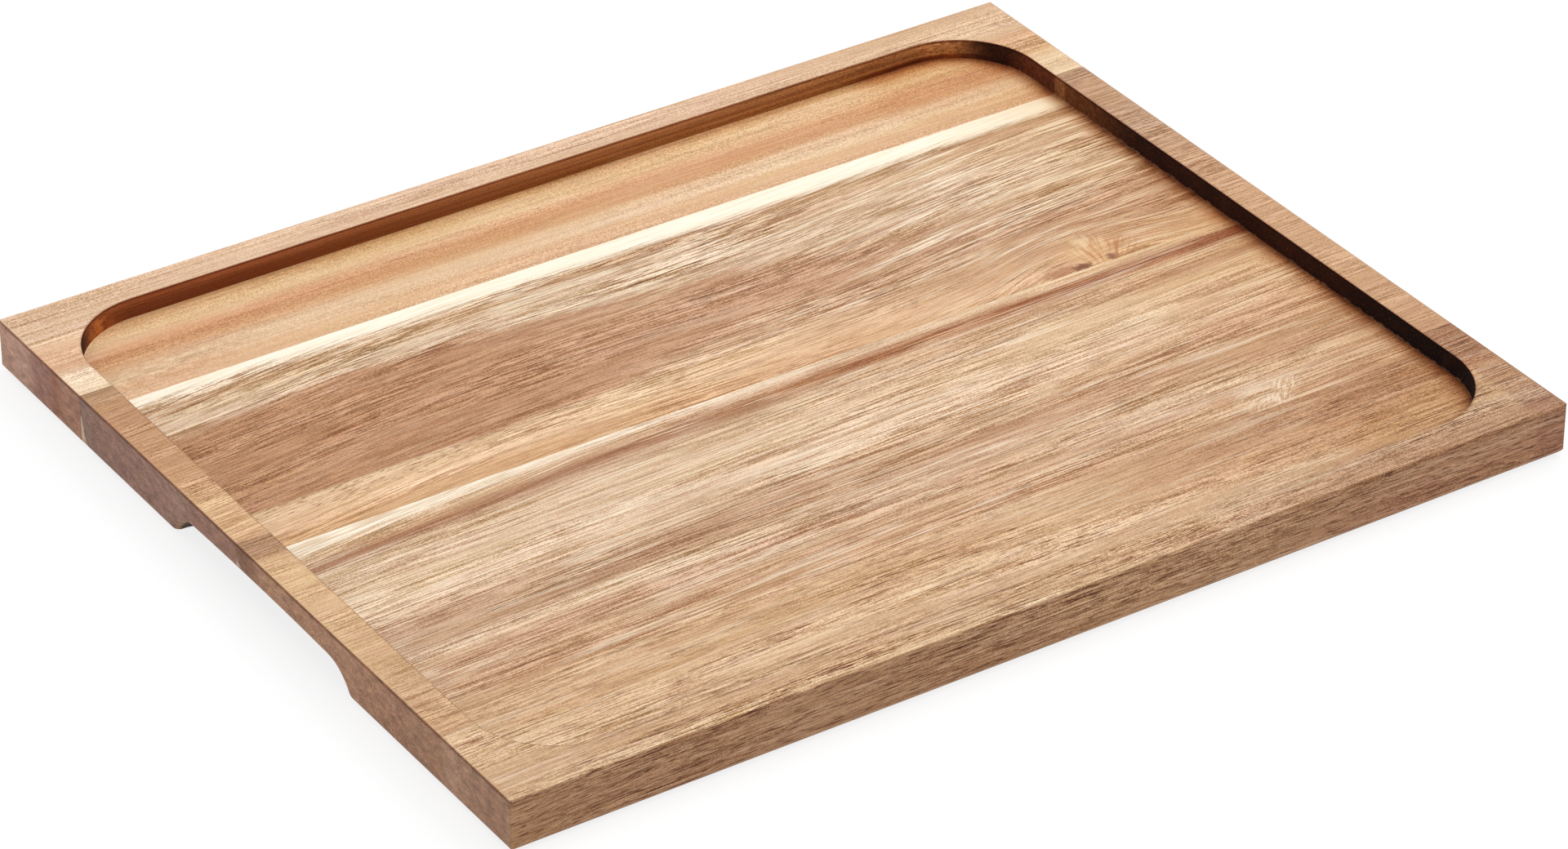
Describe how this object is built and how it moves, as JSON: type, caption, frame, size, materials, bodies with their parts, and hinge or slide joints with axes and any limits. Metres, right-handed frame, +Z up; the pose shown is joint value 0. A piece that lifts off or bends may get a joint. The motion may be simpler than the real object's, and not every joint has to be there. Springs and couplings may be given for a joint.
{
  "type": "wooden serving tray",
  "caption": "Rectangular wooden serving tray with a shallow round-cornered recess, a flat rim, rounded lower edges and an arched finger grip under each short end.",
  "frame": {"origin": "centre of the board's rectangle on the underside that it stands on", "axes": "+X along the grain and the long side, +Y across the staves from front to back, +Z up out of the recess"},
  "size_m": [0.325, 0.265, 0.016],
  "materials": {
    "acacia_golden": "planed, sanded and lightly oiled, golden with red-brown bands",
    "acacia_heartwood": "planed, sanded and lightly oiled, grey-brown heartwood with a cream sapwood edge",
    "acacia_tan": "planed, sanded and lightly oiled, tan with a cream sapwood edge",
    "acacia_brown": "planed, sanded and lightly oiled, tan-brown with short dark pores"
  },
  "bodies": {
    "root": {"stave_back": "acacia_golden", "stave_mid_back": "acacia_heartwood", "stave_mid_front": "acacia_tan", "stave_front": "acacia_brown"}
  },
  "joints": []
}
